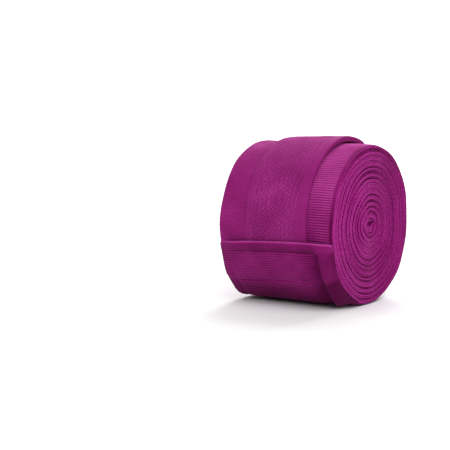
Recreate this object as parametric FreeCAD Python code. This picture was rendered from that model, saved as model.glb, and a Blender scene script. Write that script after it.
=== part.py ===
"""A hand wrap for boxing, rolled up for storage and closed with its own hook-and-loop tab.

The roll lies on its side. Its axis runs along X, and the origin is on the table under the middle of
that axis. Angles are taken round the axis from +Y towards +Z, so 90 is the top, 180 the front and 270
the bottom. The band is wound clockwise as seen from +X: its angle falls on the way out from the core,
and the last turn goes from beneath the closure tab over the top, down the back, under the roll and up
to the tab's end at TIP_ANGLE. A wound angle past 360 is one turn further in.
"""
import FreeCAD, Part
import math
import os
from FreeCAD import Vector

# Band: cotton and elastic webbing.
BAND_WIDTH = 50.8
BAND_THICK = 0.55
TURNS = 40                     # whole turns under the outer one
CORE_RADIUS = 2.1              # middle of the band at the start of its first turn
FRONT_ANGLE = 540.0            # wound angle where the outer turn passes the front
FRONT_RADIUS = 32.0            # outside of the outer turn there

# Where the last turn is divided, as wound angles.
OUTER_START = 612.0            # the outer turn starts here, under the tail
TAIL_ROOT = 252.0              # fold line between the outer turn and the tail
TAB_ROOT = 219.0               # fold line between the tail and the tab
HEM_ROOT = 194.4
TIP_ANGLE = 189.0
FOLD_GAP = 0.1                 # clearance at each fold line, in millimetres

# The roll settles on its own weight, so its lowest turns lie flat.
AXIS_HEIGHT = 32.15
FLATTENED_TURNS = 12
LEAST_FLATTENING = 0.01        # in millimetres; a turn flattened by less stays round

# Loop tape: a strap sewn down at its two ends only.
LOOP_WIDTH = 27.6
LOOP_CENTRE_X = 0.45
LOOP_FRONT_END = 228.0
LOOP_BACK_END = 40.0
LOOP_BACKING = 0.45
LOOP_RISE = 1.0                # how far it stands off the roll over the top
LOOP_RISE_FROM = 152.0
LOOP_RISE_FULL = 92.0
LOOP_FALL_FROM = 66.0
LOOP_FALL_TO = 50.0
PILE_WIDTH = 20.8
PILE_CENTRE_X = -0.8
PILE_HEIGHT = 0.45

# Closure tab.
TAB_RADIUS = 34.2              # outside of the band over the hook tape
HOOK_WIDTH = 39.0
HOOK_FROM = 217.0
HOOK_TO = 196.0
HOOK_BACKING = 0.3
HOOK_HEIGHT = 0.35
HOOK_ROWS = 9
HOOK_ROW_DEPTH = 0.6           # along the band
HEM_RISE = 0.3                 # the folded hem stands this far above the tab
HEM_DROP = 0.6                 # and this far below the inside of the tab's band

# Woven label, on the back of the roll.
LABEL_WIDTH = 41.6
LABEL_FROM = 34.0
LABEL_TO = -62.0
LABEL_THICK = 0.5
MOTIF_THICK = 0.12
MOTIF_LINE = 0.8
FRAME_INSET = 5.0
BARS = 15
BAR_PITCH = 2.6
BAR_LENGTH = 14.0

# Thumb loop: a narrow folded strip, flattened in the core and sewn to the band's two corners.
THUMB_LENGTH = 46.0
THUMB_SPAN = 2.7
THUMB_DEPTH = 1.3
THUMB_WALL = 0.42
TACK_X = 19.0                  # middle of each bar tack
TACK_THREADS = 3

# Sewing thread.
THREAD = 0.17                  # radius
STITCH = 2.2
STITCH_PITCH = 3.0
SEAM_INSET = 1.6               # from the edge of what is sewn
LAY = 0.03                     # clearance between pieces that lie on each other

ARC_STEP = 15.0
PITCH = (FRONT_RADIUS - BAND_THICK / 2 - CORE_RADIUS) / (TURNS + 0.25)


def at(radius, angle, x=0.0):
    """The point at a radius and an angle round the roll's axis."""
    turn = math.radians(angle)
    return Vector(x, radius * math.cos(turn), AXIS_HEIGHT + radius * math.sin(turn))


def spiral(angle):
    """Outside of the band at a wound angle, before it is flattened at the bottom."""
    return FRONT_RADIUS + PITCH * (FRONT_ANGLE - angle) / 360.0


def smooth(share):
    """0 to 1 with level ends."""
    share = max(0.0, min(1.0, share))
    return share * share * (3.0 - 2.0 * share)


def degrees(length, radius):
    return math.degrees(length / radius)


def segment(first, middle, last):
    """The arc through three points, or the straight line where they are in line."""
    if (middle - first).cross(last - first).Length < 1e-6:
        return Part.LineSegment(first, last).toShape()
    return Part.Arc(first, middle, last).toShape()


def polar_edges(radius_at, corners):
    """Edges that follow radius_at through the angles in corners, in steps of about ARC_STEP."""
    edges = []
    for start, end in zip(corners, corners[1:]):
        count = max(1, math.ceil(abs(end - start) / ARC_STEP))
        step = (end - start) / count
        for i in range(count):
            a = start + i * step
            edges.append(segment(*(at(radius_at(b), b) for b in (a, a + step / 2, a + step))))
    return edges


def closed_prism(outer, inner, x_from, x_to):
    """The solid between two chains of edges that run the same way, from x_from to x_to."""
    caps = [
        Part.LineSegment(outer[-1].Vertexes[-1].Point, inner[-1].Vertexes[-1].Point).toShape(),
        Part.LineSegment(inner[0].Vertexes[0].Point, outer[0].Vertexes[0].Point).toShape(),
    ]
    face = Part.Face(Part.Wire(Part.__sortEdges__(outer + inner + caps)))
    solid = face.extrude(Vector(x_to - x_from, 0, 0))
    solid.translate(Vector(x_from, 0, 0))
    return solid


def strip(inside, outside, corners, x_from, x_to):
    """A curved strip between two radius functions, over the angles in corners."""
    return closed_prism(polar_edges(outside, corners), polar_edges(inside, corners), x_from, x_to)


# --- the wound band ---------------------------------------------------------------------------


def bottom_depth(passes_in):
    """Depth below the axis of the band's outside, where the turn that is so many turns in lies flat."""
    natural = spiral(270.0 + 360.0 * passes_in)
    flattened = (spiral(270.0) - AXIS_HEIGHT) * max(0.0, 1.0 - passes_in / FLATTENED_TURNS)
    return natural - flattened


def half_turn(centre_y, radius, start, end, depth=None):
    """Edges of one half turn about a centre on the axis' level, cut straight at a depth if it lies flat."""
    def point(angle):
        turn = math.radians(angle)
        return Vector(0, centre_y + radius * math.cos(turn), AXIS_HEIGHT + radius * math.sin(turn))

    if depth is None or radius - depth < LEAST_FLATTENING:
        return [segment(point(start), point((start + end) / 2), point(end))]
    flat = math.degrees(math.acos(depth / radius))
    before, after = 270.0 + flat, 270.0 - flat
    return [
        segment(point(start), point((start + before) / 2), point(before)),
        Part.LineSegment(point(before), point(after)).toShape(),
        segment(point(after), point((after + end) / 2), point(end)),
    ]


def wound_edges(offset):
    """One face of the wound turns, offset from the middle of the band, from the core outwards."""
    edges = []
    for k in range(TURNS + 1):
        last = k == TURNS
        middle = CORE_RADIUS + k * PITCH
        depth = bottom_depth(TURNS + 1 - k) - BAND_THICK / 2 + offset
        end = OUTER_START - 360.0 + degrees(PITCH / 2, FRONT_RADIUS) if last else 180.0
        edges += half_turn(-PITCH / 4, middle + offset, 360.0, end, depth)
        if not last:
            edges += half_turn(PITCH / 4, middle + PITCH / 2 + offset, 180.0, 0.0)
    return edges


def wound_band():
    half = BAND_THICK / 2
    return closed_prism(wound_edges(half), wound_edges(-half), -BAND_WIDTH / 2, BAND_WIDTH / 2)


def outer_radius(angle):
    """Outside of the last turn, flat on the table at the bottom."""
    away = abs(angle - 270.0)
    if away > 60.0:
        return spiral(angle)
    return min(spiral(angle), AXIS_HEIGHT / math.cos(math.radians(away)))


def outer_inside(angle):
    away = abs(angle - 270.0)
    if away > 60.0:
        return spiral(angle) - BAND_THICK
    return min(spiral(angle) - BAND_THICK, (AXIS_HEIGHT - BAND_THICK) / math.cos(math.radians(away)))


def outer_turn():
    """The last turn, from under the tail round to the tail's fold line."""
    flat = math.degrees(math.acos(AXIS_HEIGHT / spiral(270.0)))
    end = TAIL_ROOT + degrees(FOLD_GAP, FRONT_RADIUS)
    corners = [OUTER_START, 270.0 + flat, 270.0 - flat, end]
    return strip(outer_inside, outer_radius, corners, -BAND_WIDTH / 2, BAND_WIDTH / 2)


# --- loop tape --------------------------------------------------------------------------------


def loop_inside(angle):
    """Underside of the loop tape. The front of the roll is one turn in from angles past 180."""
    wound = angle + 360.0
    rise = LOOP_RISE * smooth((LOOP_RISE_FROM - angle) / (LOOP_RISE_FROM - LOOP_RISE_FULL))
    rise *= smooth((angle - LOOP_FALL_TO) / (LOOP_FALL_FROM - LOOP_FALL_TO))
    return spiral(wound) + LAY + rise


def loop_tape():
    corners = [LOOP_FRONT_END, LOOP_RISE_FROM, LOOP_FALL_FROM, LOOP_FALL_TO, LOOP_BACK_END]
    x_from = LOOP_CENTRE_X - LOOP_WIDTH / 2
    return strip(loop_inside, lambda a: loop_inside(a) + LOOP_BACKING, corners, x_from, x_from + LOOP_WIDTH)


def loop_pile():
    margin = 2.0 * SEAM_INSET
    front = LOOP_FRONT_END - degrees(margin, FRONT_RADIUS)
    back = LOOP_BACK_END + degrees(margin, FRONT_RADIUS)
    corners = [front, LOOP_RISE_FROM, LOOP_FALL_FROM, LOOP_FALL_TO, back]
    x_from = PILE_CENTRE_X - PILE_WIDTH / 2
    top = LOOP_BACKING + PILE_HEIGHT
    return strip(lambda a: loop_inside(a) + LOOP_BACKING, lambda a: loop_inside(a) + top,
                 corners, x_from, x_from + PILE_WIDTH)


# --- stitches ---------------------------------------------------------------------------------


def cross_stitch(radius, angle, x):
    """One stitch that lies along X, resting on the surface at a radius."""
    return Part.makeCylinder(THREAD, STITCH, at(radius + THREAD + LAY, angle, x - STITCH / 2), Vector(1, 0, 0))


def long_stitch(radius, angle, x):
    """One stitch that lies along the band."""
    turn = math.radians(angle)
    along = Vector(0, math.sin(turn), -math.cos(turn))
    start = at(radius + THREAD + 2 * LAY, angle, x) - along * (STITCH / 2)
    return Part.makeCylinder(THREAD, STITCH, start, along)


def cross_row(radius_at, angle, x_from, x_to):
    count = int((x_to - x_from) / STITCH_PITCH)
    first = (x_from + x_to - (count - 1) * STITCH_PITCH) / 2
    return [cross_stitch(radius_at(angle), angle, first + i * STITCH_PITCH) for i in range(count)]


def long_row(radius_at, x, angle_from, angle_to):
    length = math.radians(abs(angle_to - angle_from)) * FRONT_RADIUS
    count = int(length / STITCH_PITCH)
    step = math.copysign(degrees(STITCH_PITCH, FRONT_RADIUS), angle_to - angle_from)
    first = (angle_from + angle_to - (count - 1) * step) / 2
    return [long_stitch(radius_at(first + i * step), first + i * step, x) for i in range(count)]


def stitched_frame(radius_at, angle_from, angle_to, x_from, x_to):
    """A rectangle of stitches just inside the edges given."""
    inset = degrees(SEAM_INSET, FRONT_RADIUS)
    first, last = angle_from - inset, angle_to + inset
    low, high = x_from + SEAM_INSET, x_to - SEAM_INSET
    stitches = cross_row(radius_at, first, low + THREAD * 4, high - THREAD * 4)
    stitches += cross_row(radius_at, last, low + THREAD * 4, high - THREAD * 4)
    for x in (low, high):
        stitches += long_row(radius_at, x, first, last)
    return Part.makeCompound(stitches)


def loop_end_stitching(angle):
    """Two rows across the end of the loop tape."""
    low = LOOP_CENTRE_X - LOOP_WIDTH / 2 + SEAM_INSET
    high = LOOP_CENTRE_X + LOOP_WIDTH / 2 - SEAM_INSET
    on_top = lambda a: loop_inside(a) + LOOP_BACKING
    spread = degrees(SEAM_INSET / 2, FRONT_RADIUS)
    return Part.makeCompound(cross_row(on_top, angle - spread, low, high)
                             + cross_row(on_top, angle + spread, low, high))


# --- closure tab ------------------------------------------------------------------------------


def tail_outside(angle):
    """The tail climbs from the last turn onto the hook and loop tapes."""
    root = spiral(TAIL_ROOT)
    return root + (TAB_RADIUS - root) * smooth((TAIL_ROOT - angle) / (TAIL_ROOT - TAB_ROOT))


def tail_band():
    corners = [TAIL_ROOT - degrees(FOLD_GAP, FRONT_RADIUS), TAB_ROOT + degrees(FOLD_GAP, FRONT_RADIUS)]
    return strip(lambda a: tail_outside(a) - BAND_THICK, tail_outside, corners,
                 -BAND_WIDTH / 2, BAND_WIDTH / 2)


def tab_strip(low, high, angle_from, angle_to, width):
    """Part of the tab between two heights above the inside of its band."""
    base = TAB_RADIUS - BAND_THICK
    return strip(lambda a: base + low, lambda a: base + high, [angle_from, angle_to], -width / 2, width / 2)


def tab_band():
    root = TAB_ROOT - degrees(FOLD_GAP, FRONT_RADIUS)
    return tab_strip(0.0, BAND_THICK, root, HEM_ROOT, BAND_WIDTH)


def end_hem():
    return tab_strip(-HEM_DROP, BAND_THICK + HEM_RISE, HEM_ROOT, TIP_ANGLE, BAND_WIDTH)


def hook_tape():
    return tab_strip(-LAY - HOOK_BACKING, -LAY, HOOK_FROM, HOOK_TO, HOOK_WIDTH)


def hook_rows():
    """Rows of hooks on the underside of the hook tape, each row one ridge across it."""
    top = -LAY - HOOK_BACKING
    depth = degrees(HOOK_ROW_DEPTH, TAB_RADIUS)
    first, last = HOOK_FROM - depth, HOOK_TO + depth
    rows = []
    for i in range(HOOK_ROWS):
        middle = first + (last - first) * i / (HOOK_ROWS - 1)
        rows.append(tab_strip(top - HOOK_HEIGHT, top, middle + depth / 2, middle - depth / 2,
                              HOOK_WIDTH - 2 * SEAM_INSET))
    return Part.makeCompound(rows)


def hook_stitching():
    return stitched_frame(lambda a: TAB_RADIUS, HOOK_FROM, HOOK_TO, -HOOK_WIDTH / 2, HOOK_WIDTH / 2)


def hem_stitching():
    surface = TAB_RADIUS + HEM_RISE
    middle = (HEM_ROOT + TIP_ANGLE) / 2
    return Part.makeCompound(cross_row(lambda a: surface, middle, -BAND_WIDTH / 2 + 1, BAND_WIDTH / 2 - 1))


# --- label ------------------------------------------------------------------------------------


def label_radius(angle):
    """Outside of the turn under the label, whose angle runs below zero past the back."""
    return spiral(angle + 360.0)


def label():
    return strip(lambda a: label_radius(a) + LAY, lambda a: label_radius(a) + LAY + LABEL_THICK,
                 [LABEL_FROM, LABEL_TO], -LABEL_WIDTH / 2, LABEL_WIDTH / 2)


def label_bar(angle_from, angle_to, x_from, x_to):
    base = LAY + LABEL_THICK
    return strip(lambda a: label_radius(a) + base, lambda a: label_radius(a) + base + MOTIF_THICK,
                 [angle_from, angle_to], x_from, x_to)


def label_motif():
    """A thin frame and a row of plain bars, in silver yarn."""
    inset = degrees(FRAME_INSET, FRONT_RADIUS)
    line = degrees(MOTIF_LINE, FRONT_RADIUS)
    first, last = LABEL_FROM - inset, LABEL_TO + inset
    side = LABEL_WIDTH / 2 - FRAME_INSET
    bars = [label_bar(first, last, x, x + MOTIF_LINE) for x in (-side, side - MOTIF_LINE)]
    for angle in (first, last + line):
        bars.append(label_bar(angle, angle - line, -side + MOTIF_LINE + LAY, side - MOTIF_LINE - LAY))
    middle = (LABEL_FROM + LABEL_TO) / 2
    for i in range(BARS):
        start = middle + degrees((i - (BARS - 1) / 2) * BAR_PITCH, FRONT_RADIUS) + line / 2
        bars.append(label_bar(start, start - line, -BAR_LENGTH / 2, BAR_LENGTH / 2))
    return Part.makeCompound(bars)


def label_stitching():
    return stitched_frame(lambda a: label_radius(a) + LAY + LABEL_THICK, LABEL_FROM, LABEL_TO,
                          -LABEL_WIDTH / 2, LABEL_WIDTH / 2)


# --- core -------------------------------------------------------------------------------------


def racetrack(span, depth):
    """A wire with straight long sides and round ends, about the roll's axis."""
    half, radius = (span - depth) / 2, depth / 2
    def p(y, z):
        return Vector(0, y, AXIS_HEIGHT + z)
    return Part.Wire([
        Part.LineSegment(p(-half, radius), p(half, radius)).toShape(),
        Part.Arc(p(half, radius), p(half + radius, 0), p(half, -radius)).toShape(),
        Part.LineSegment(p(half, -radius), p(-half, -radius)).toShape(),
        Part.Arc(p(-half, -radius), p(-half - radius, 0), p(-half, radius)).toShape(),
    ])


def thumb_loop():
    outer = Part.Face(racetrack(THUMB_SPAN, THUMB_DEPTH))
    inner = Part.Face(racetrack(THUMB_SPAN - 2 * THUMB_WALL, THUMB_DEPTH - 2 * THUMB_WALL))
    solid = outer.cut(inner).extrude(Vector(THUMB_LENGTH, 0, 0))
    solid.translate(Vector(-THUMB_LENGTH / 2, 0, 0))
    return solid


def thumb_tacks():
    """Bar tacks that hold the thumb loop to the start of the band, near its two corners."""
    threads = []
    reach = THUMB_SPAN / 2 + THREAD / 2 + LAY
    for x in (-TACK_X, TACK_X):
        for i in range(TACK_THREADS):
            angle = 30.0 * (i - (TACK_THREADS - 1) / 2) / 2
            middle = at(reach, angle, x - STITCH)
            threads.append(Part.makeCylinder(THREAD / 2, 2 * STITCH, middle, Vector(1, 0, 0)))
    return Part.makeCompound(threads)


def main():
    nodes = {
        "wound_band": wound_band(),
        "outer_turn": outer_turn(),
        "loop_tape": loop_tape(),
        "loop_pile": loop_pile(),
        "loop_front_stitching": loop_end_stitching(LOOP_FRONT_END - degrees(SEAM_INSET, FRONT_RADIUS)),
        "loop_back_stitching": loop_end_stitching(LOOP_BACK_END + degrees(SEAM_INSET, FRONT_RADIUS)),
        "label": label(),
        "label_motif": label_motif(),
        "label_stitching": label_stitching(),
        "thumb_loop": thumb_loop(),
        "thumb_loop_tacks": thumb_tacks(),
        "tail_band": tail_band(),
        "tab_band": tab_band(),
        "end_hem": end_hem(),
        "hem_stitching": hem_stitching(),
        "hook_tape": hook_tape(),
        "hook_rows": hook_rows(),
        "hook_stitching": hook_stitching(),
    }
    os.makedirs("parts", exist_ok=True)
    for name, shape in nodes.items():
        shape.exportStep("parts/" + name + ".step")
        print(name, "solids", len(shape.Solids), "valid", shape.isValid(), "volume", round(shape.Volume, 2))
    wound = nodes["wound_band"].Volume + nodes["outer_turn"].Volume + nodes["tail_band"].Volume
    wound += nodes["tab_band"].Volume + nodes["end_hem"].Volume
    print("pitch", round(PITCH, 4), "band length", round(wound / BAND_THICK / BAND_WIDTH))


main()
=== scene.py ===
import math

import bpy
import numpy as np
from mathutils import Matrix, Vector


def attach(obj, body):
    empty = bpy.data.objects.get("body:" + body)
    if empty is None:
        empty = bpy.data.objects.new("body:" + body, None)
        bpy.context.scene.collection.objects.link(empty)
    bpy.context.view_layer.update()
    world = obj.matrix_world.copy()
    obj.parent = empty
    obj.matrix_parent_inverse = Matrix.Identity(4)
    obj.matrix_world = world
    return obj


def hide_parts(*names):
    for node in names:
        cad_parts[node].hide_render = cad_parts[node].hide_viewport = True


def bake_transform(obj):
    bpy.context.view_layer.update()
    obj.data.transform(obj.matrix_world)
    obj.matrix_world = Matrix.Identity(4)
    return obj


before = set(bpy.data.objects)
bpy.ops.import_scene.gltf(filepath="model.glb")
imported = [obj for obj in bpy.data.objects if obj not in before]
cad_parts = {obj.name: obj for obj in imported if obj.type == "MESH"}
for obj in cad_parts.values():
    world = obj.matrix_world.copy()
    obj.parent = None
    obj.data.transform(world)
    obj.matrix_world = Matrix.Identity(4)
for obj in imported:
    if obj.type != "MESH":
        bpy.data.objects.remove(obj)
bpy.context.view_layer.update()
rng = np.random.default_rng(7)

# ---------------------------------------------------------------------------------------------
# The roll, in millimetres and degrees. Angles run from +Y towards +Z: 90 is the top, 180 the
# front, 270 the bottom. A wound angle past 360 is one turn further in.
# ---------------------------------------------------------------------------------------------
AXIS = 32.15
HALF = 25.4
TURNS = 40
CORE = 2.1
BAND = 0.55
FRONT = 32.0
PITCH = (FRONT - BAND / 2 - CORE) / (TURNS + 0.25)
FULL = 0.69                     # cloth in the roll, as it swells between its neighbours
TAIL_ROOT, HEM_ROOT, TIP = 252.0, 194.4, 189.0
TAB_R = 34.2
TAIL_START = 262.0              # where the tail's cloth is divided from the last turn's
CUT = 223.0                     # and where it is divided between its two hinges
RIB = 1.02                      # rib pitch of the band's weave
MM = math.degrees(1.0 / 32.6)   # one millimetre round the roll, in degrees
THREAD_RADIUS = 0.00013         # of the sewing thread, in metres


def spiral(w):
    return FRONT + PITCH * (540.0 - w) / 360.0


def smooth(t):
    t = np.clip(t, 0.0, 1.0)
    return t * t * (3.0 - 2.0 * t)


def bump(t, centre, width):
    return np.exp(-((t - centre) / width) ** 2)


def polar(x, r, a):
    x, r, a = np.broadcast_arrays(x, r, np.radians(a))
    return np.stack([x, r * np.cos(a), AXIS + r * np.sin(a)], -1) * 0.001


class Waves:
    """Smooth seeded noise of any number of coordinates, about -1 to 1."""

    def __init__(self, dims, shortest, longest, count=9):
        size = np.exp(rng.uniform(math.log(shortest), math.log(longest), count))
        way = rng.normal(size=(count, dims))
        way /= np.linalg.norm(way, axis=1)[:, None]
        self.k = way * (2 * math.pi / size)[:, None]
        self.p = rng.uniform(0, 2 * math.pi, count)
        self.scale = math.sqrt(2.0 / count) * 0.7

    def __call__(self, *c):
        c = np.broadcast_arrays(*c)
        total = 0.0
        for k, p in zip(self.k, self.p):
            total = total + np.sin(sum(ki * ci for ki, ci in zip(k, c)) + p)
        return total * self.scale


def mesh_object(name, verts, faces, material, cloth=None, smooth_shade=True):
    data = bpy.data.meshes.new(name)
    data.from_pydata(verts.tolist(), [], [list(f) for f in faces])
    data.polygons.foreach_set("use_smooth", [smooth_shade] * len(data.polygons))
    if cloth is not None:
        a = data.attributes.new("cloth", "FLOAT_VECTOR", "POINT")
        a.data.foreach_set("vector", np.ascontiguousarray(cloth, dtype=np.float32).ravel())
    data.update()
    data.materials.append(material)
    obj = bpy.data.objects.new(name, data)
    bpy.context.scene.collection.objects.link(obj)
    return obj


def tube_faces(rows, cols):
    """Quads of a grid that is closed round its columns, with an end cap at each end of its rows."""
    i, j = np.meshgrid(np.arange(rows - 1), np.arange(cols), indexing="ij")
    k = (j + 1) % cols
    quads = np.stack([i * cols + j, i * cols + k, (i + 1) * cols + k, (i + 1) * cols + j], -1)
    faces = quads.reshape(-1, 4).tolist()
    faces.append(list(range(cols - 1, -1, -1)))
    last = (rows - 1) * cols
    faces.append([last + c for c in range(cols)])
    return faces


def closed_sheet(name, top, under, edge_right, edge_left, material, coords):
    """A sheet with thickness: its top, right edge, underside and left edge, row by row."""
    ring = np.concatenate([top, edge_right, under[:, ::-1], edge_left], axis=1)
    cloth = np.concatenate(coords, axis=1)
    rows, cols = ring.shape[:2]
    faces = tube_faces(rows, cols)
    return mesh_object(name, ring.reshape(-1, 3), faces, material, cloth.reshape(-1, 3))


# ---------------------------------------------------------------------------------------------
# Materials
# ---------------------------------------------------------------------------------------------
class Nodes:
    def __init__(self, name):
        self.mat = bpy.data.materials.new(name)
        self.mat.use_nodes = True
        self.tree = self.mat.node_tree
        self.bsdf = self.tree.nodes["Principled BSDF"]

    def add(self, kind, **values):
        n = self.tree.nodes.new(kind)
        for k, v in values.items():
            setattr(n, k, v)
        return n

    def link(self, a, b):
        self.tree.links.new(a, b)

    def value(self, socket, v):
        if hasattr(v, "is_linked") or hasattr(v, "links"):
            self.link(v, socket)
        else:
            socket.default_value = v

    def math(self, op, a, b=0.0, clamp=False):
        n = self.add("ShaderNodeMath", operation=op, use_clamp=clamp)
        self.value(n.inputs[0], a)
        self.value(n.inputs[1], b)
        return n.outputs[0]

    def ramp(self, fac, stops):
        n = self.add("ShaderNodeValToRGB")
        e = n.color_ramp.elements
        while len(e) < len(stops):
            e.new(0.5)
        for s, (p, c) in zip(e, stops):
            s.position = p
            s.color = (*c, 1.0)
        self.link(fac, n.inputs["Fac"])
        return n.outputs["Color"]

    def noise(self, vector, scale, detail=3.0, rough=0.55):
        n = self.add("ShaderNodeTexNoise")
        n.inputs["Scale"].default_value = scale
        n.inputs["Detail"].default_value = detail
        n.inputs["Roughness"].default_value = rough
        self.link(vector, n.inputs["Vector"])
        return n.outputs["Fac"]

    def bands(self, vector, axis, pitch, phase=0.0):
        """0 to 1 waves across one axis of a vector in millimetres."""
        s = self.add("ShaderNodeSeparateXYZ")
        self.link(vector, s.inputs[0])
        turn = self.math("MULTIPLY", s.outputs[axis], 2 * math.pi / pitch)
        wave = self.math("SINE", self.math("ADD", turn, phase))
        return self.math("ADD", self.math("MULTIPLY", wave, 0.5), 0.5)

    def bump(self, height, distance, strength=1.0, normal=None):
        n = self.add("ShaderNodeBump")
        n.inputs["Strength"].default_value = strength
        n.inputs["Distance"].default_value = distance
        self.link(height, n.inputs["Height"])
        if normal is not None:
            self.link(normal, n.inputs["Normal"])
        return n.outputs["Normal"]


def cloth_material(name, dark, mid, light, weave_x, weave_y, depth, rough=0.85, sheen=0.12,
                   tint=(0.95, 0.3, 0.72), fuzz=0.5, tone=0.3, mottled=0.4, flecked=0.18, fleck_size=1500.0):
    """Woven yarn: two crossing sets of threads, mottled colour and a fibrous sheen.

    The cloth attribute holds the place across and along the cloth in millimetres, and a third number
    from 0 in its hollows to 1 on its ridges. Tone weighs it into the colour as painted shade and painted
    highlight.
    """
    n = Nodes(name)
    v = n.add("ShaderNodeAttribute", attribute_name="cloth").outputs["Vector"]
    parts = n.add("ShaderNodeSeparateXYZ")
    n.link(v, parts.inputs[0])
    flat = n.add("ShaderNodeCombineXYZ")
    n.link(parts.outputs[0], flat.inputs[0])
    n.link(parts.outputs[1], flat.inputs[1])
    flat = flat.outputs[0]
    place = n.add("ShaderNodeTexCoord").outputs["Object"]
    weave = n.math("MULTIPLY", n.bands(flat, 0, weave_x), n.bands(flat, 1, weave_y))
    fibres = n.noise(flat, 3.2, 4.0, 0.65)
    mottle = n.noise(place, 90.0, 3.0, 0.5)
    fleck = n.noise(place, fleck_size, 2.0, 0.6)
    fibre_share = 0.82 - mottled - flecked * 0.7
    shade = n.math("ADD", n.math("MULTIPLY", mottle, mottled), n.math("MULTIPLY", fibres, fibre_share))
    shade = n.math("ADD", shade, n.math("MULTIPLY", weave, 0.12))
    shade = n.math("ADD", shade, n.math("MULTIPLY", fleck, flecked))
    # lift is painted shade below 0.5 and painted highlight above it, from the third cloth number weighed by
    # tone
    lift = n.math("MULTIPLY", n.math("SUBTRACT", parts.outputs[2], 0.5), tone)
    shade = n.math("ADD", shade, lift, clamp=True)
    colour = n.ramp(shade, [(0.2, dark), (0.5, mid), (0.8, light)])
    n.link(colour, n.bsdf.inputs["Base Color"])
    roughness = n.math("ADD", n.math("MULTIPLY", fibres, 0.12), rough - 0.06)
    n.link(roughness, n.bsdf.inputs["Roughness"])
    height = n.math("ADD", weave, n.math("MULTIPLY", fleck, fuzz))
    n.link(n.bump(height, depth * 0.001, 0.9), n.bsdf.inputs["Normal"])
    n.bsdf.inputs["Sheen Weight"].default_value = sheen
    n.bsdf.inputs["Sheen Roughness"].default_value = 0.45
    n.bsdf.inputs["Sheen Tint"].default_value = (*tint, 1.0)
    n.bsdf.inputs["Specular IOR Level"].default_value = 0.12
    n.bsdf.inputs["Specular Tint"].default_value = (*tint, 1.0)
    return n.mat


BAND_CLOTH = cloth_material("band_cloth", (0.085, 0.001, 0.042), (0.255, 0.0115, 0.143),
                            (0.43, 0.05, 0.275), 0.62, 0.31, 0.06, tone=0.62)
EDGE_CLOTH = cloth_material("edge_cloth", (0.085, 0.001, 0.042), (0.235, 0.004, 0.128),
                            (0.42, 0.03, 0.265), 0.5, 0.5, 0.16, rough=0.95, sheen=0.12, fuzz=1.6, tone=0.42,
                            mottled=0.25, flecked=0.45, fleck_size=1000.0)
TAPE_CLOTH = cloth_material("tape_cloth", (0.16, 0.005, 0.09), (0.255, 0.014, 0.15),
                            (0.31, 0.024, 0.185), 0.42, 0.42, 0.03, rough=0.8, tone=0.3)
PILE_CLOTH = cloth_material("pile_cloth", (0.10, 0.003, 0.055), (0.265, 0.015, 0.155),
                            (0.43, 0.045, 0.275), 0.7, 0.5, 0.12, rough=0.95, sheen=0.2, fuzz=1.2, tone=0.4)
THREAD = cloth_material("sewing_thread", (0.2, 0.007, 0.11), (0.32, 0.018, 0.19),
                        (0.45, 0.05, 0.29), 0.22, 0.5, 0.03, rough=0.6, tone=0.0)
HOOK_NYLON = cloth_material("hook_nylon", (0.14, 0.004, 0.08), (0.25, 0.011, 0.145),
                            (0.34, 0.03, 0.22), 0.35, 0.35, 0.02, rough=0.45, sheen=0.0, fuzz=0.2, tone=0.0)
LABEL_CLOTH = cloth_material("label_damask", (0.003, 0.003, 0.004), (0.009, 0.009, 0.011),
                             (0.03, 0.03, 0.034), 0.34, 0.22, 0.05, rough=0.62, sheen=0.05,
                             tint=(0.6, 0.6, 0.65), fuzz=0.25, tone=0.3)
LABEL_YARN = cloth_material("label_yarn", (0.3, 0.3, 0.32), (0.5, 0.5, 0.53), (0.7, 0.7, 0.74),
                            0.5, 0.3, 0.05, rough=0.45, sheen=0.1, tint=(0.9, 0.9, 0.95), fuzz=0.2, tone=0.2)
LABEL_THREAD = cloth_material("label_thread", (0.008, 0.008, 0.01), (0.02, 0.02, 0.023),
                              (0.05, 0.05, 0.056), 0.22, 0.5, 0.03, rough=0.55, sheen=0.05, fuzz=0.2,
                              tone=0.0)

# ---------------------------------------------------------------------------------------------
# Shapes that the pieces share
# ---------------------------------------------------------------------------------------------
face_swell = Waves(2, 14.0, 46.0, 8)
ring_strength = Waves(2, 16.0, 40.0, 8)
turn_drift = Waves(1, 2.2, 7.0, 8)
fray = Waves(1, 0.9, 3.4, 16)
rib_wander = Waves(2, 7.0, 30.0, 8)
soft_lumps = Waves(2, 9.0, 34.0, 10)
core_pull = [Waves(2, 5.0, 12.0, 6), Waves(2, 5.0, 12.0, 6)]


def settled(r, a, depth):
    """A turn's radius with its lowest part pressed flat at a depth below the axis."""
    down = -np.sin(np.radians(a))
    limit = np.where(down > 0.4, depth / np.maximum(down, 0.4), r + 9.0)
    k = 0.3
    h = np.clip(0.5 + 0.5 * (limit - r) / k, 0.0, 1.0)
    return r * h + limit * (1.0 - h) - k * h * (1.0 - h)


def top_settle(a, r):
    """The roll is a little lower than round over the top."""
    return -0.5 * smooth((a - 35.0) / 40.0) * smooth((145.0 - a) / 40.0) * (r / FRONT) ** 2


def grouping(w):
    """The phase of a turn in the groups of about three turns that lie close together."""
    turn = w / 360.0
    return 2 * math.pi * (turn / 3.0 + 0.12) + 0.9 * turn_drift(turn)


def hollow(w):
    """How sunk a turn's selvedge is, from 0 on a ridge of the end face to 1 in a groove.

    Over the top and under the bottom the ridges are about three turns wide; at the sides they widen.
    """
    turn, a = w / 360.0, np.radians(w)
    narrow = 0.5 - 0.5 * np.cos(grouping(w))
    wide = 0.5 - 0.5 * np.cos(2 * math.pi * turn / 3.9 + 1.2 * turn_drift(turn + 40.0))
    side = np.cos(a) ** 2
    deep = narrow ** 4 * (1.0 - side) + wide ** 4 * side
    top = smooth((np.mod(w, 360.0) - 25.0) / 35.0) * smooth((155.0 - np.mod(w, 360.0)) / 35.0)
    return np.clip(deep + 0.9 * bump(turn, 3.1, 0.5) * top, 0.0, 1.3)


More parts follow.
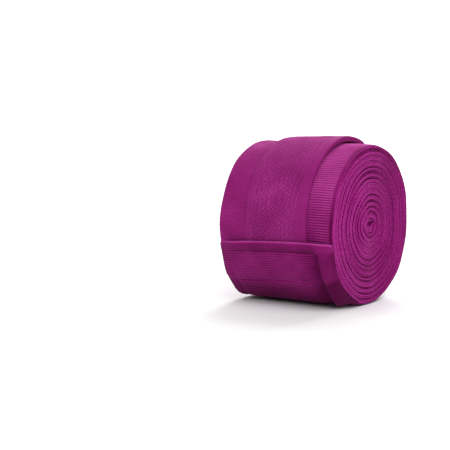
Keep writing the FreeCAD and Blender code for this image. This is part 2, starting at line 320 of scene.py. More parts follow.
def edge_place(w, r, s, side, frayed=0.12):
    """Where a turn's selvedge lies along the axis at one end of the roll."""
    a = np.radians(w)
    y, z = r * np.cos(a), r * np.sin(a)
    deep = np.clip(0.62 + 0.4 * ring_strength(y + 60 * side, z), 0.25, 1.1)
    deep = deep * (1.0 - 0.75 * smooth((y - 2.0) / 14.0))
    deep = deep * (1.0 - 0.35 * smooth((-z - 8.0) / 12.0))
    out = HALF - 0.05 - deep * hollow(w) + 0.30 * face_swell(y + 80 * side, z)
    return side * (out + frayed * fray(s + 500.0 * side))


def shifted(points):
    """The turns nearest the core lie off centre and unevenly; the outer turns hardly move."""
    p = points * 1000.0
    y, z = p[..., 1], p[..., 2] - AXIS
    near = np.exp(-(y * y + z * z) / 70.0)
    moved = p.copy()
    moved[..., 1] += near * (0.5 * core_pull[0](y, z) + 0.06 * y + 0.2)
    moved[..., 2] += near * (0.5 * core_pull[1](y, z) - 0.14 * z - 0.2)
    return moved * 0.001


def ribs(s):
    """Height of the woven ribs, 0 to 1, along the band in millimetres."""
    f = np.mod(s / RIB, 1.0)
    return 1.0 - np.abs(2.0 * f - 1.0) ** 2.4


# ---------------------------------------------------------------------------------------------
# The wound turns
# ---------------------------------------------------------------------------------------------
def rolled_band():
    first, last, step = 360.0 * (TURNS + 2), 612.6, 0.65
    fine = np.linspace(first, last, 200000)
    per_degree = np.radians(spiral(fine[1:]) - BAND / 2)
    along = np.concatenate([[0.0], np.cumsum(np.abs(np.diff(fine)) * per_degree)])
    s = np.linspace(0.0, along[-1], int(along[-1] / step))
    w = np.interp(s, along, fine)
    a = np.mod(w, 360.0)
    mid = spiral(w) - BAND / 2 + 0.075 * np.sin(grouping(w))
    passes = np.round((w - 270.0) / 360.0)
    flat = (spiral(270.0) - AXIS) * np.clip(1.0 - passes / 12.0, 0.0, 1.0)
    mid = mid + top_settle(a, mid)
    mid = settled(mid, a, spiral(270.0 + 360.0 * passes) - flat - BAND / 2)
    h = FULL / 2
    right, left = edge_place(w, mid, s, 1), edge_place(w, mid, s, -1)
    # ridge is painted shade: darker in the grooves between the groups of turns, and darker towards +Y across
    # the end face.
    ridge = (1.0 - 0.8 * hollow(w)) * (1.15 - 0.38 * smooth((mid * np.cos(np.radians(a)) + 9.0) / 22.0))
    # The edge a point hangs on, how far from it, its height, and its tone: painted highlight on the middle of
    # each selvedge, painted shade towards its flat faces.
    places = [(left, 0.12, h, 0.3), (left, 1.6, h, 0.0), (right, -1.6, h, 0.0), (right, -0.12, h, 0.3),
              (right, 0.0, 0.6 * h, 0.8), (right, 0.04, 0.0, 1.0), (right, 0.0, -0.6 * h, 0.8),
              (right, -0.12, -h, 0.3), (left, 0.12, -h, 0.3),
              (left, 0.0, -0.6 * h, 0.8), (left, -0.04, 0.0, 1.0), (left, 0.0, 0.6 * h, 0.8)]
    ring = np.stack([polar(edge + shift, mid + height, a) for edge, shift, height, _ in places], 1)
    cloth = np.stack([np.stack([edge + shift + height, s, tone * ridge], -1)
                      for edge, shift, height, tone in places], 1)
    ring = shifted(ring)
    obj = mesh_object("rolled_band", ring.reshape(-1, 3), tube_faces(*ring.shape[:2]), EDGE_CLOTH,
                      cloth.reshape(-1, 3))
    return obj, s[-1]


# ---------------------------------------------------------------------------------------------
# The outer turn, the tail and the tab: one strip of cloth, divided at TAIL_START and CUT
# ---------------------------------------------------------------------------------------------
PANEL_LEFT, PANEL_RIGHT, PANEL_LOW, PANEL_HIGH = -21.6, 19.6, 218.0, 195.4
X_TOP = np.array([-25, -24.9, -24.65, -24.2, -23.7, -23.2, -22.8, -22.4, -22, -21.6, -21.2, -20.8, -20.2, -18,
                  -15, -11, -7, -3, 1, 5, 8, 11, 13, 14.5, 15.6, 16.6, 17.4, 18.1, 18.7, 19.2,
                  19.6, 19.9, 20.2,
                  20.5, 20.9, 21.4, 22.0, 22.7, 23.4, 24.0, 24.4, 24.7, 24.9, 25]) * HALF / 25.0
X_UNDER = np.array([-24.6, -22.5, -18, -12, -6, 0, 6, 12, 16, 18.1, 19.2, 20.2, 21.4, 22.7,
                    24.6]) * HALF / 25.0


def rib_rows(length):
    """Places along the band, closer together beside the grooves between its ribs."""
    count = int(length / RIB)
    f = np.array([0.0, 0.12, 0.36, 0.64, 0.88])
    return np.concatenate([(i + f) * RIB for i in range(count)] + [[count * RIB]]), count * RIB


def lap(w):
    """Outside of the last turn, and of the tail and the tab that climb over the strap."""
    r = spiral(w)
    r = np.where(np.abs(w - 270.0) < 60.0, settled(r, np.mod(w, 360.0), AXIS), r)
    r = r + np.where(w > 360.0, top_settle(w - 360.0, r), 0.0)
    root = spiral(TAIL_ROOT)
    climb = root + (TAB_R + 0.8 * bump(w, 238.0, 9.0) - root) * smooth((TAIL_ROOT + 3.0 - w) / 17.0)
    climb = np.where(w > 225.0, settled(climb, w, AXIS), climb)
    return np.where(w < TAIL_ROOT + 3.0, climb, r)


def tab_outside(X, W):
    """Outside of the tab and tail, as the sewn-in hook tape shapes them.

    A sunk panel lies in a raised border; beside it the cloth drops into a crease and climbs over a
    rounded rim, which like the left border comes down to the roll at the edge.
    """
    on = smooth((TAIL_ROOT - W) / 14.0)
    tab = smooth((PANEL_LOW + 2.0 - W) / 5.0)
    panel = smooth((X - PANEL_LEFT) / 1.0) * smooth((W - PANEL_HIGH) / 1.5) * (X < PANEL_RIGHT)
    border = 0.36 * (1.0 - panel) * np.maximum(tab, 0.6 * on)
    hem = 0.26 * smooth((HEM_ROOT + 0.9 - W) / 0.9)
    left_groove = 0.5 * bump(X, PANEL_LEFT + 0.2, 0.6) * on * smooth((W - PANEL_HIGH + 0.5) / 1.5)
    start = 16.2 - 2.6 * smooth((W - 200.0) / 30.0)
    below = smooth((W - PANEL_HIGH + 0.6) / 2.2)
    rim = smooth((X - PANEL_RIGHT) / 1.0)
    valley = 1.3 * smooth((X - start) / (PANEL_RIGHT - start)) * (1.0 - rim) * on * below
    rim = 0.75 * below * rim * on
    across = smooth((X - PANEL_LEFT) / 1.5) * smooth((PANEL_RIGHT - X) / 1.5)
    hem_groove = 0.62 * bump(W, PANEL_HIGH - 0.1, 1.05) * across
    crown = 0.12 * bump(W, PANEL_HIGH + 3.0, 1.5) * across
    seam_at = PANEL_LOW + 0.8 - 0.1 * X
    pucker = 0.5 + 0.5 * np.cos(2 * math.pi * X / 2.9 + 2.0 * np.sin(0.6 * X))
    sewn = across * smooth((15.5 - X) / 4.0)
    seam = (0.38 + 0.2 * pucker) * bump(W, seam_at, 1.1) * sewn * smooth((X + 22.0) / 6.0)
    fold = 0.25 * bump(W, seam_at + 3.2, 1.9) * sewn
    ruck = 0.20 * bump(X, 12.0 + 0.12 * (W - 205.0), 2.4) * bump(W, 206.0, 7.0)
    r = lap(W) + border + hem + rim + crown + fold + ruck - left_groove - valley - hem_groove - seam
    snug = smooth((X - 21.0) / 4.3) + smooth((-X - 17.5) / 8.0) * (0.15 + 0.8 * smooth((216.0 - W) / 20.0))
    snug = snug * smooth((TAIL_ROOT + 4.0 - W) / 7.0)
    return r * (1.0 - snug) + (spiral(W + 360.0) + FULL + 0.1) * snug


def skew(X, W):
    """The tab's end bows: highest right of the middle, with both corners lower."""
    bow = np.interp(X, [-25.4, -21.0, -12.0, 0.0, 8.0, 18.0, 22.0, 25.4],
                    [3.6, 2.2, 0.6, -0.6, -1.1, -1.5, -1.2, -0.2])
    return bow * smooth((235.5 - W) / 30.5)


def lap_strip(name, w_from, w_to, radius):
    """A length of the last turn's cloth between two wound angles, with its ribs and selvedges."""
    s, total = rib_rows(radius * math.radians(w_from - w_to))
    w = w_from - (w_from - w_to) * s / total
    s = s + RIB * round(FRONT * math.radians(612.0 - w_from) / RIB)
    S, X = np.meshgrid(s, X_TOP, indexing="ij")
    W = np.broadcast_to(w[:, None], X.shape)
    edge = np.clip((HALF - np.abs(X)) / 1.0, 0.0, 1.0)
    plain_edge = smooth((HALF - 0.5 - np.abs(X)) / 0.9)
    plain_edge = plain_edge * np.where(W < TAIL_ROOT, 1.0 - 0.8 * smooth((X - 19.2) / 1.0), 1.0)
    tip = smooth(1.0 - (W - TIP) / 2.0)
    hem = smooth((HEM_ROOT + 0.5 - W) / 0.9)
    plain = np.where(W < TAIL_ROOT + 3.0, tab_outside(X, W), lap(W))
    rib = ribs(S) * plain_edge
    strong = (0.70 + 0.55 * X / HALF) * (1.0 - 0.45 * smooth((470.0 - W) / 30.0) * smooth((W - 290.0) / 30.0))
    strong = np.where(W < TAIL_ROOT, 0.75, strong)
    strong = strong * (1.0 - 0.85 * hem)
    r = plain - 0.22 * strong * (1.0 - rib)
    r = r + 0.05 * soft_lumps(X, S) - 0.24 * (1.0 - np.sqrt(edge)) - 0.62 * tip ** 2
    low = plain - FULL - 0.6 * hem + 0.25 * tip ** 2
    wander = 0.2 * rib_wander(X, S) * (1.0 - hem)
    joined = smooth(np.abs(W - CUT) / 3.0) * smooth(np.abs(W - TAIL_START) / 3.0)
    right, left = edge_place(w, lap(w), s, 1, 0.03), edge_place(w, lap(w), s, -1, 0.03)
    loose = smooth((TAIL_ROOT - w) / 10.0)
    right = right * (1 - loose) + (HALF + 0.05) * loose
    left = left * (1 - loose) - (HALF + 0.05) * loose
    Xs = np.where(X > 0, X * right[:, None], -X * left[:, None]) / HALF
    A = W + skew(X, W)
    top = polar(Xs, r, A + wander * joined)
    xu = np.where(X_UNDER > 0, X_UNDER * right[:, None], -X_UNDER * left[:, None]) / HALF
    Wu = np.broadcast_to(w[:, None], xu.shape)
    low_u = np.stack([np.interp(X_UNDER, X_TOP, row) for row in low])
    under = polar(xu, low_u, Wu + skew(X_UNDER, Wu))
    ends = []
    for x, edge_x, column in ((HALF, right, -1), (-HALF, left, 0)):
        high, deep = r[:, column], low[:, column]
        angle = A[:, column]
        out = math.copysign(0.12, x)
        ends.append(np.stack([polar(edge_x + out, 0.7 * high + 0.3 * deep, angle),
                              polar(edge_x + out, 0.3 * high + 0.7 * deep, angle)], 1))
    # Painted shade in the rib grooves and on the hem, a lighter band along the selvedges, and a painted
    # highlight on the rounded tip.
    tone = 0.6 - 0.6 * strong * (1.0 - rib) + 0.1 * (1.0 - plain_edge) - 0.26 * hem + 0.65 * tip ** 2
    # Painted highlight on the right of the last turn's front, with a little painted shade on its left.
    front = smooth((560.0 - W) / 20.0) * smooth((W - 390.0) / 40.0)
    tone = tone + front * (0.42 * smooth((X - 11.0) / 5.0) * smooth((560.0 - W) / 70.0)
                           - 0.02 * smooth((-X - 10.0) / 5.0))
    # Painted shade over the lower tail, darkening towards the bottom.
    painted_tail_shade = smooth((W - 214.0) / 26.0) * smooth((258.0 - W) / 6.0) * (1.0 - 0.8 * smooth((X - 19.6) / 1.2))
    # Painted shade in the groove under the hem.
    painted_shade_under_hem = (bump(W, PANEL_HIGH - 0.2, 1.0) * smooth((PANEL_RIGHT - X) / 1.5)
                 * smooth((X - PANEL_LEFT) / 1.5))
    # crease is painted shade in the crease beside the rim, deeper over the lower tail; the last term below is
    # painted shade at the lower right of the tail.
    crease = smooth((X - 12.5) / 6.0) * (1.0 - smooth((X - 19.8) / 1.2)) * smooth((W - 196.0) / 3.0)
    crease = crease + 0.5 * smooth((X - 18.0) / 3.0) * smooth((W - 226.0) / 10.0)
    tone = tone - np.where(W < TAIL_ROOT, 0.42 * painted_tail_shade + 0.3 * painted_shade_under_hem
                           + 0.7 * crease * (0.25 + 0.75 * painted_tail_shade)
                           + 0.6 * smooth((X - 17.5) / 2.5) * smooth((W - 214.0) / 10.0), 0.0)
    side = lambda x: np.stack([np.stack([x + 0 * s, s, 0 * s + 0.45], -1)] * 2, 1)
    coords = [np.stack([X, S, tone], -1), side(HALF),
              np.stack([np.broadcast_to(X_UNDER, xu.shape), np.broadcast_to(s[:, None], xu.shape),
                        np.full(xu.shape, 0.5)], -1)[:, ::-1], side(-HALF)]
    obj = closed_sheet(name, top, under, ends[0], ends[1][:, ::-1], BAND_CLOTH, coords)
    return obj, total


# ---------------------------------------------------------------------------------------------
# Loop tape
# ---------------------------------------------------------------------------------------------
LOOP_X, LOOP_W = 0.45, 27.6
LOOP_HALF = LOOP_W / 2


def strap_lift(A, X):
    """How far the strap stands off the roll over the top, more at its right edge."""
    rise = smooth((150.0 - A) / 58.0) * smooth((A - 50.0) / 20.0)
    return rise * (1.5 + 0.6 * (X - LOOP_X) / LOOP_HALF)


def strap_under(A, X):
    r = spiral(A + 360.0)
    return r + top_settle(A, r) + 0.06 + strap_lift(A, X)


def loop_tape():
    a = np.arange(228.0, 39.9, -0.9)
    near_edge = LOOP_HALF - np.array([0.0, 0.1, 0.3, 0.7, 1.2, 2.0, 2.8, 3.6])
    xs = np.concatenate([-near_edge, np.arange(-9.0, 9.1, 1.8), near_edge[::-1]])
    A, X = np.meshgrid(a, xs + LOOP_X, indexing="ij")
    S = (228.0 - A) * math.radians(1.0) * 32.5
    edge = np.clip((LOOP_HALF - np.abs(X - LOOP_X)) / 1.1, 0.0, 1.0)
    sway = 0.25 * np.sin(np.radians(A * 2.2))
    r0 = strap_under(A, X)
    thick = 0.68 + 0.20 * smooth((X - 9.2) / 1.5) - 0.34 * (1 - np.sqrt(edge))
    top = polar(X + sway, r0 + thick, A)
    curl = 0.75 * strap_lift(A, X) * smooth((X - LOOP_X - LOOP_HALF + 1.8) / 1.5)
    under = polar(X + sway, r0 - curl, A)[:, 1:-1]
    zero = 0 * a
    x_r, r_r, curled = X[:, -1] + sway[:, -1], r0[:, -1], curl[:, -1]
    e_r = np.stack([polar(x_r + 0.10, r_r + 0.30, a), polar(x_r + 0.16, r_r + 0.15 - 0.5 * curled, a),
                    polar(x_r + 0.04, r_r + 0.08 - curled, a)], 1)
    e_l = polar(X[:, 0] + sway[:, 0] - 0.06, r0[:, 0] + 0.25, a)[:, None]
    s = S[:, 0]
    # Painted shade at the edges and under the strap: the right edge darkens down its curl to the underside's
    # lowest tone.
    coords = [np.stack([X, S, 0.5 + 0 * X], -1),
              np.stack([np.stack([13 + zero, s, zero + t], -1) for t in (0.3, 0.1, 0.0)], 1),
              np.stack([X, S, 0 * X], -1)[:, 1:-1][:, ::-1], np.stack([-13 + zero, s, zero], -1)[:, None]]
    obj = closed_sheet("loop_strap", top, under, e_r, e_l, TAPE_CLOTH, coords)
    return obj


pile_noise = Waves(2, 0.7, 2.4, 24)
pile_patch = Waves(2, 6.0, 22.0, 8)


def pile_height(X, S):
    """Brushed loops in slanting rows of dots."""
    bent = 0.09 * pile_noise(X + 50.0, S)
    u = 2 * math.pi * (X * 0.64 + S * 0.70 + bent)
    v = 2 * math.pi * (X * 0.90 - S * 0.42 + bent)
    dots = 0.5 + 0.32 * np.cos(u) + 0.28 * np.cos(v) + 0.12 * pile_noise(X, S + 90.0)
    return np.clip(dots, 0.0, 1.0)


def loop_pile():
    a_from, a_to = 222.0, 46.0
    ds = 0.30
    count = int((a_from - a_to) * math.radians(1.0) * 32.9 / ds)
    a = np.linspace(a_from, a_to, count)
    xs = np.linspace(-10.4, 10.4, 70) - 0.8
    A, X = np.meshgrid(a, xs, indexing="ij")
    S = (228.0 - A) * math.radians(1.0) * 32.5
    sway = 0.25 * np.sin(np.radians(A * 2.2))
    r0 = strap_under(A, X)
    side = np.clip((10.4 - np.abs(X + 0.8)) / 0.8, 0.0, 1.0)
    ends = np.clip(np.minimum(a_from - A, A - a_to) / 1.4, 0.0, 1.0)
    full = np.sqrt(side * ends)
    clear = 1.0 - 0.75 * smooth((150.0 - A) / 40.0) - 0.2 * smooth((X - 2.0) / 8.0)
    dots = 0.5 + (pile_height(X, S) - 0.5) * clear
    h = 0.05 + full * (0.10 + 0.22 * dots + 0.05 * pile_noise(X, S) + 0.03 * pile_patch(X, S))
    top = polar(X + sway, r0 + 0.6 + h, A)
    under = polar(X + sway, r0 + 0.5, A)[:, 1:-1]
    zero = 0 * a
    s = S[:, 0]
    e_r = polar(X[:, -1] + sway[:, -1], r0[:, -1] + 0.6, a)[:, None]
    e_l = polar(X[:, 0] + sway[:, 0], r0[:, 0] + 0.6, a)[:, None]
    # The third cloth number follows the loop height: painted shade between the loops and under the pile.
    coords = [np.stack([X, S, dots + 0.15 * pile_noise(X, S)], -1),
              np.stack([10.4 + zero, s, zero], -1)[:, None],
              np.stack([X, S, 0 * X], -1)[:, 1:-1][:, ::-1], np.stack([-10.4 + zero, s, zero], -1)[:, None]]
    return closed_sheet("loop_pile_field", top, under, e_r, e_l, PILE_CLOTH, coords)


# ---------------------------------------------------------------------------------------------
# Threads
# ---------------------------------------------------------------------------------------------
def threads(name, ends, radius, material, sink=0.0, sides=6, rings=6):
    """Stitches: short threads between pairs of points, bowed so that their ends dip into the cloth."""
    verts, cloth, faces = [], [], []
    for start, end, out in ends:
        start, end, out = (np.asarray(v, float) for v in (start, end, out))
        along = end - start
        length = np.linalg.norm(along)
        along /= length
        out = out / np.linalg.norm(out)
        across = np.cross(along, out)
        base = len(verts)
        for i in range(rings):
            t = i / (rings - 1)
            lift = radius * 0.35 - (sink + radius * 1.1) * abs(2 * t - 1) ** 4
            fat = radius * (0.55 + 0.45 * math.sin(math.pi * min(max(t, 0.06), 0.94)) ** 0.5)
            centre = start + along * length * t + out * lift
            for j in range(sides):
                q = 2 * math.pi * j / sides
                verts.append(centre + (out * math.cos(q) * 0.8 + across * math.sin(q)) * fat)
                cloth.append((t * length * 1000, q, 0.0))
        for i in range(rings - 1):
            for j in range(sides):
                k = (j + 1) % sides
                faces.append((base + i * sides + j, base + i * sides + k,
                              base + (i + 1) * sides + k, base + (i + 1) * sides + j))
        faces.append([base + j for j in range(sides - 1, -1, -1)])
        faces.append([base + (rings - 1) * sides + j for j in range(sides)])
    return mesh_object(name, np.array(verts), faces, material, np.array(cloth))


def stitch_run(place, points):
    """Pairs of ends and the outward way for a run of stitches through a list of (x, angle)."""
    ends = []
    for (x0, a0), (x1, a1) in points:
        p0, p1 = place(x0, a0), place(x1, a1)
        a = math.radians((a0 + a1) / 2)
        ends.append((p0, p1, (0.0, math.cos(a), math.sin(a))))
    return ends


def row_across(a, x_from, x_to, pitch=2.6, stitch=1.9):
    count = int((x_to - x_from) / pitch)
    start = (x_from + x_to - (count - 1) * pitch) / 2
    return [((start + i * pitch - stitch / 2, a), (start + i * pitch + stitch / 2, a)) for i in range(count)]


def row_along(x, a_from, a_to, pitch=2.6, stitch=1.9, r=33.0):
    length = abs(a_to - a_from) * math.radians(1.0) * r
    count = int(length / pitch)
    step = math.degrees(pitch / r) * (1 if a_to > a_from else -1)
    half = math.degrees(stitch / 2 / r) * (1 if a_to > a_from else -1)
    start = (a_from + a_to - (count - 1) * step) / 2
    return [((x, start + i * step - half), (x, start + i * step + half)) for i in range(count)]


def tab_place(x, a):
    X, W = np.array(float(x)), np.array(float(a))
    return polar(X, tab_outside(X, W) - 0.05, W + skew(X, W))


def strap_place(x, a):
    X, W = np.array(float(x)), np.array(float(a))
    return polar(X + 0.25 * np.sin(np.radians(W * 2.2)), strap_under(W, X) + 0.66, W)


def label_place(x, a):
    X, A = np.array(float(x)), np.array(float(a))
    return polar(X, label_under(A) + label_height(X, A), A)


# ---------------------------------------------------------------------------------------------
# Label
# ---------------------------------------------------------------------------------------------
LABEL_A, LABEL_B, LABEL_HALF = 34.0, -62.0, 20.8


def label_under(a):
    return spiral(np.asarray(a, float) + 360.0) + 0.03


def label_height(X, A):
    """Thickness of the label: rounded at its folded edges and pulled down along its stitches."""
    S, whole = (LABEL_A - A) / MM, (LABEL_A - LABEL_B) / MM
    edge = np.clip((LABEL_HALF - np.abs(X)) / 0.5, 0.0, 1.0)
    ends = np.clip(np.minimum(S, whole - S) / 0.5, 0.0, 1.0)
    sewn = bump(np.minimum(LABEL_HALF - np.abs(X), np.minimum(S, whole - S)), 1.7, 0.6)
    return (0.5 - 0.16 * (1 - np.sqrt(edge)) - 0.16 * (1 - np.sqrt(ends)) - 0.10 * sewn
            + 0.03 * soft_lumps(X + 200, S))


def label_body():
    a = np.linspace(LABEL_A, LABEL_B, 180)
    xs = np.concatenate([[-20.8, -20.6, -20.2, -19.4], np.arange(-18.0, 18.1, 1.5), [19.4, 20.2, 20.6, 20.8]])
    A, X = np.meshgrid(a, xs, indexing="ij")
    S = (LABEL_A - A) / MM
    h = label_height(X, A)
    r0 = label_under(A)
    top = polar(X, r0 + h, A)
    under = polar(X, r0 + 0.0, A)[:, 1:-1]
    zero = 0 * a
    s = S[:, 0]
    e_r = polar(X[:, -1] + 0.05, r0[:, -1] + 0.18, a)[:, None]
    e_l = polar(X[:, 0] - 0.05, r0[:, 0] + 0.18, a)[:, None]
    # The label's thickness sets its tone: painted shade at its folded edges, along its stitches and
    # underneath.
    coords = [np.stack([X, S, h], -1), np.stack([21 + zero, s, zero], -1)[:, None],
              np.stack([X, S, 0 * X], -1)[:, 1:-1][:, ::-1], np.stack([-21 + zero, s, zero], -1)[:, None]]
    return closed_sheet("woven_label", top, under, e_r, e_l, LABEL_CLOTH, coords)


def yarn_patch(a_from, a_to, x_from, x_to):
    """A slightly raised patch of yarn on the label, as vertices, cloth places and faces."""
    steps = max(2, int((a_from - a_to) / MM / 1.0))
    a = np.concatenate([[a_from], np.linspace(a_from - 0.12 * MM, a_to + 0.12 * MM, steps), [a_to]])
    across = max(2, int((x_to - x_from) / 1.2))
    xs = np.concatenate([[x_from], np.linspace(x_from + 0.12, x_to - 0.12, across), [x_to]])
    A, X = np.meshgrid(a, xs, indexing="ij")
    S = (LABEL_A - A) / MM
    rim = (X == x_from) | (X == x_to) | (A == a_from) | (A == a_to)
    face = label_height(X, A)
    top = polar(X, label_under(A) + face + np.where(rim, 0.02, 0.11), A)
    low = polar(X, label_under(A) + face - 0.15, A)
    ring = np.concatenate([top, low[:, ::-1]], 1)
    # Painted shade round the rim of each yarn patch, lighter on its raised top.
    c = np.stack([X, S, np.where(rim, 0.0, 1.0)], -1)
    cloth = np.concatenate([c, c[:, ::-1]], 1)
    return ring.reshape(-1, 3), cloth.reshape(-1, 3), tube_faces(*ring.shape[:2])


def label_motif():
    """A thin frame and a row of plain bars."""
    first, last = LABEL_A - 5.0 * MM, LABEL_B + 5.0 * MM
    side, line = LABEL_HALF - 5.0, 0.8
    patches = [(first, last, -side, -side + line), (first, last, side - line, side),
               (first, first - line * MM, -side + line, side - line),
               (last + line * MM, last, -side + line, side - line)]
    middle = (LABEL_A + LABEL_B) / 2
    for i in range(15):
        start = middle + ((i - 7) * 2.6 + 0.4) * MM
        patches.append((start, start - 0.8 * MM, -7.0, 7.0))
    verts, cloth, faces = [], [], []
    for p in patches:
        v, c, f = yarn_patch(*p)
        base = sum(len(x) for x in verts)
        verts.append(v)
        cloth.append(c)
        faces += [[base + k for k in q] for q in f]
    return mesh_object("label_bar_motif", np.concatenate(verts), faces, LABEL_YARN, np.concatenate(cloth))


# ---------------------------------------------------------------------------------------------
# Hook tape, under the tab
# ---------------------------------------------------------------------------------------------
def hook_tape():
    a = np.linspace(217.0, 196.0, 30)
    xs = np.concatenate([[-19.5, -19.3, -18.8], np.arange(-18.0, 18.1, 1.5), [18.8, 19.3, 19.5]])
    A, X = np.meshgrid(a, xs, indexing="ij")
    S = (217.0 - A) * math.radians(1.0) * 33.0
    r1 = tab_outside(X, A) - FULL - 0.03
    A = A + skew(X, A)
    top = polar(X, r1, A)
    edge = np.clip((19.5 - np.abs(X)) / 0.5, 0.0, 1.0)
    low = polar(X, r1 - 0.16 - 0.14 * np.sqrt(edge), A)[:, 1:-1]
    zero = 0 * a
    s = S[:, 0]
    e_r = polar(X[:, -1] + 0.05, r1[:, -1] - 0.1, A[:, -1])[:, None]
    e_l = polar(X[:, 0] - 0.05, r1[:, 0] - 0.1, A[:, 0])[:, None]
    coords = [np.stack([X, S, 0 * X], -1), np.stack([20 + zero, s, zero], -1)[:, None],
              np.stack([X, S, 0 * X], -1)[:, 1:-1][:, ::-1], np.stack([-20 + zero, s, zero], -1)[:, None]]
    return closed_sheet("hook_tape_strip", top, low, e_r, e_l, TAPE_CLOTH, coords)


def hooks():
    """Single hooks of nylon line: each rises from the tape and bends over."""
    verts, cloth, faces = [], [], []
    sides, steps = 4, 5
    for i, a in enumerate(np.linspace(215.4, 197.6, 10)):
        for x in np.arange(-17.4, 17.5, 1.25) + (0.62 if i % 2 else 0.0):
            r1 = float(tab_outside(np.array(x), np.array(a))) - FULL - 0.30
            aslant = float(skew(x, a))
            base = len(verts)
            lean = 1.0 if i % 2 else -1.0
            for k in range(steps):
                t = k / (steps - 1) * 3.9
                up = 0.26 * math.sin(min(t, 2.2)) if t < 1.57 else 0.26 * (0.45 + 0.55 * math.sin(t) * 1.0)
                along = 0.22 * (1 - math.cos(t)) * lean
                c = (x, r1 - up, a + aslant + math.degrees(along / 33.0))
                for j in range(sides):
                    q = 2 * math.pi * j / sides
                    verts.append(polar(c[0] + 0.075 * math.cos(q), c[1] + 0.075 * math.sin(q) * math.cos(t),
                                       c[2] + math.degrees(0.075 * math.sin(q) * math.sin(t) / 33.0)))
                    cloth.append((x, a, t))
            for k in range(steps - 1):
                for j in range(sides):
                    n = (j + 1) % sides
                    faces.append((base + k * sides + j, base + k * sides + n,
                                  base + (k + 1) * sides + n, base + (k + 1) * sides + j))
            faces.append([base + j for j in range(sides - 1, -1, -1)])
            faces.append([base + (steps - 1) * sides + j for j in range(sides)])
    return mesh_object("hook_field", np.array(verts), faces, HOOK_NYLON, np.array(cloth))


# ---------------------------------------------------------------------------------------------
# Thumb loop, folded in the core
# ---------------------------------------------------------------------------------------------
def thumb_loop():
    """A narrow folded tape lying in the core; its two ends meet the start of the band."""
    t = np.linspace(0.0, 1.0, 60)
    turn = 2 * math.pi * (0.06 + 1.08 * t)
    rad = 1.42 - 0.62 * t
    cy = rad * np.cos(turn) * (1.0 - 0.08 * np.sin(2 * turn))
    cz = 0.72 * rad * np.sin(turn)
    xs = np.concatenate([[-21.8, -21.7, -21.2], np.linspace(-19, 19, 9), [21.2, 21.7, 21.8]])
    half = 0.19
    dy, dz = np.gradient(cy), np.gradient(cz)
    norm = np.hypot(dy, dz)
    ny, nz = dz / norm, -dy / norm
    X = np.broadcast_to(xs, (len(t), len(xs)))
    edge = np.clip((21.8 - np.abs(X)) / 0.6, 0.0, 1.0)
    th = half * (0.4 + 0.6 * np.sqrt(edge))
    def side(sign, cols):
        return np.stack([X[:, cols], cy[:, None] + sign * th[:, cols] * ny[:, None],
                         AXIS + cz[:, None] + sign * th[:, cols] * nz[:, None]], -1) * 0.001
    everything = slice(0, len(xs))
    inner = slice(1, len(xs) - 1)
    top, under = side(1, everything), side(-1, inner)
    zero = 0 * t
    s = t * 7.0
    e_r = np.stack([zero + 21.85, cy, AXIS + cz], -1)[:, None] * 0.001
    e_l = np.stack([zero - 21.85, cy, AXIS + cz], -1)[:, None] * 0.001
    S = np.broadcast_to(s[:, None], X.shape)
    coords = [np.stack([X, S, 0 * X], -1), np.stack([23 + zero, s, zero], -1)[:, None],
              np.stack([X, S, 0 * X], -1)[:, 1:-1][:, ::-1], np.stack([-23 + zero, s, zero], -1)[:, None]]
    return closed_sheet("thumb_loop_tape", shifted(top), shifted(under), shifted(e_r), shifted(e_l),
                        TAPE_CLOTH, coords)


# ---------------------------------------------------------------------------------------------
# Put the pieces on their bodies
# ---------------------------------------------------------------------------------------------
def point(r, a):
    return tuple(float(v) for v in polar(0.0, r, a))


band, band_length = rolled_band()
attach(band, "roll")
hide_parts("wound_band")

outer, outer_length = lap_strip("outer_band", 612.0, TAIL_START, 32.4)
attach(outer, "roll")
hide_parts("outer_turn")

tail, tail_length = lap_strip("tail_cloth", TAIL_START, CUT, 33.0)
point(33.0, 254.0)
point(34.2, 223.6)
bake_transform(tail)
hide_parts("tail_band")

tab, tab_length = lap_strip("tab_cloth", CUT, TIP, TAB_R)
point(34.1, 221.6)
point(34.1, 216.0)
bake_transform(tab)
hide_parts("tab_band", "end_hem")

hem_run = stitch_run(tab_place, row_across(PANEL_HIGH - 0.2, -22.0, 19.0))
hem_thread = threads("hem_stitches", hem_run, THREAD_RADIUS, THREAD)
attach(hem_thread, "tab")
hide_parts("hem_stitching")

runs = row_across(PANEL_LOW + 0.2, -21.6, 18.6) + row_along(PANEL_LEFT + 0.3, 216.4, 197.2)
runs += row_along(PANEL_RIGHT - 0.2, 216.4, 197.2)
hook_thread = threads("hook_tape_stitches", stitch_run(tab_place, runs), THREAD_RADIUS, THREAD)
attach(hook_thread, "tab")
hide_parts("hook_stitching")

strap = loop_tape()
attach(strap, "roll")
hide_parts("loop_tape")

pile = loop_pile()
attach(pile, "roll")
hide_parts("loop_pile")

front_runs = row_across(226.8, -12, 13.0) + row_across(225.2, -12, 13.0)
front = threads("strap_front_stitches", stitch_run(strap_place, front_runs), THREAD_RADIUS, THREAD)
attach(front, "roll")
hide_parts("loop_front_stitching")
back_runs = row_across(41.2, -12, 13.0) + row_across(42.9, -12, 13.0)
back = threads("strap_back_stitches", stitch_run(strap_place, back_runs), THREAD_RADIUS, THREAD)
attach(back, "roll")
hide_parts("loop_back_stitching")

label = label_body()
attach(label, "roll")
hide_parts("label")
motif = label_motif()
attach(motif, "roll")
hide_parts("label_motif")
frame_runs = row_across(31.0, -19.2, 19.2) + row_across(-59.0, -19.2, 19.2)
frame_runs += row_along(-19.1, 30.0, -58.0) + row_along(19.1, 30.0, -58.0)
label_thread = threads("label_stitches", stitch_run(label_place, frame_runs), THREAD_RADIUS, LABEL_THREAD)
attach(label_thread, "roll")
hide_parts("label_stitching")

hook_strip = hook_tape()
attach(hook_strip, "tab")
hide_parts("hook_tape")
hook_field = hooks()
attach(hook_field, "tab")
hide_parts("hook_rows")

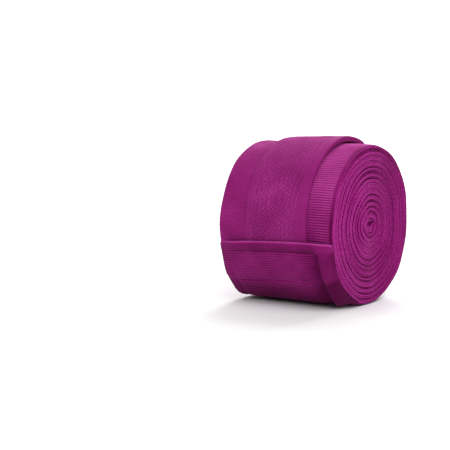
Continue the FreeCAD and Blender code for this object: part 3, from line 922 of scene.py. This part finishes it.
thumb = thumb_loop()
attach(thumb, "roll")
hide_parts("thumb_loop")
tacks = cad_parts["thumb_loop_tacks"]
tacks.data.materials.clear()
tacks.data.materials.append(THREAD)

# ---------------------------------------------------------------------------------------------
# Floor, lights and camera
# ---------------------------------------------------------------------------------------------
def floor():
    n = Nodes("pale_floor")
    place = n.add("ShaderNodeTexCoord").outputs["Object"]
    tone = n.noise(place, 3.0, 2.0)
    colour = n.ramp(tone, [(0.3, (0.83, 0.83, 0.83)), (0.7, (0.85, 0.85, 0.85))])
    n.link(colour, n.bsdf.inputs["Base Color"])
    n.bsdf.inputs["Roughness"].default_value = 0.8
    n.bsdf.inputs["Specular IOR Level"].default_value = 0.1
    sweep = []
    for y in np.linspace(-1.6, 0.9, 6):
        sweep.append((y, 0.0))
    for q in np.linspace(0, math.pi / 2, 12):
        sweep.append((0.9 + 0.5 * math.sin(q), 0.5 - 0.5 * math.cos(q)))
    sweep.append((1.4, 2.2))
    verts = [(x, y, z) for x in (-2.5, 2.5) for y, z in sweep]
    m = len(sweep)
    faces = [(i, m + i, m + i + 1, i + 1) for i in range(m - 1)]
    obj = mesh_object("studio_floor", np.array(verts), faces, n.mat)
    turn = Matrix.Rotation(math.radians(33.5), 4, "Z")
    obj.data.transform(turn)


def area_light(name, place, target, size, power, colour=(1, 1, 1)):
    data = bpy.data.lights.new(name, "AREA")
    data.shape = "SQUARE"
    data.size = size
    data.energy = power
    data.color = colour
    obj = bpy.data.objects.new(name, data)
    obj.location = place
    obj.rotation_euler = (Vector(target) - Vector(place)).to_track_quat("-Z", "Y").to_euler()
    bpy.context.scene.collection.objects.link(obj)


floor()
area_light("key", (0.62, -0.55, 0.62), (0, 0, 0.03), 0.80, 5.7)
area_light("over", (0.45, -0.20, 0.88), (0, 0, 0.03), 0.60, 2.9)
area_light("fill", (-0.55, -0.50, 0.62), (0, 0, 0.03), 0.80, 2.2)
area_light("behind", (-0.15, 0.75, 0.70), (-0.1, 0.1, 0.0), 0.70, 8.0)
area_light("backdrop", (-0.33, 0.50, 0.95), (-0.77, 1.17, 0.30), 0.80, 14.0)

world = bpy.data.worlds.new("studio")
world.use_nodes = True
world.node_tree.nodes["Background"].inputs["Color"].default_value = (1, 1, 1, 1)
world.node_tree.nodes["Background"].inputs["Strength"].default_value = 0.25
bpy.context.scene.world = world
bpy.context.scene.view_settings.view_transform = "Standard"

azimuth, elevation = math.radians(33.5), math.radians(7.0)
back = Vector((math.sin(azimuth) * math.cos(elevation), -math.cos(azimuth) * math.cos(elevation),
               math.sin(elevation)))
right = Vector((math.cos(azimuth), math.sin(azimuth), 0.0))
up = back.cross(right)
camera = bpy.data.cameras.new("camera")
camera.sensor_width = 36.0
camera.lens = 118.0
camera.clip_start = 0.01
camera.dof.use_dof = False
eye = Vector((0, 0, 0.031)) + back * 0.60 - right * 0.03673 - up * 0.0009
holder = bpy.data.objects.new("camera", camera)
holder.matrix_world = Matrix((
    (right.x, up.x, back.x, eye.x),
    (right.y, up.y, back.y, eye.y),
    (right.z, up.z, back.z, eye.z),
    (0, 0, 0, 1)))
bpy.context.scene.collection.objects.link(holder)
bpy.context.scene.camera = holder
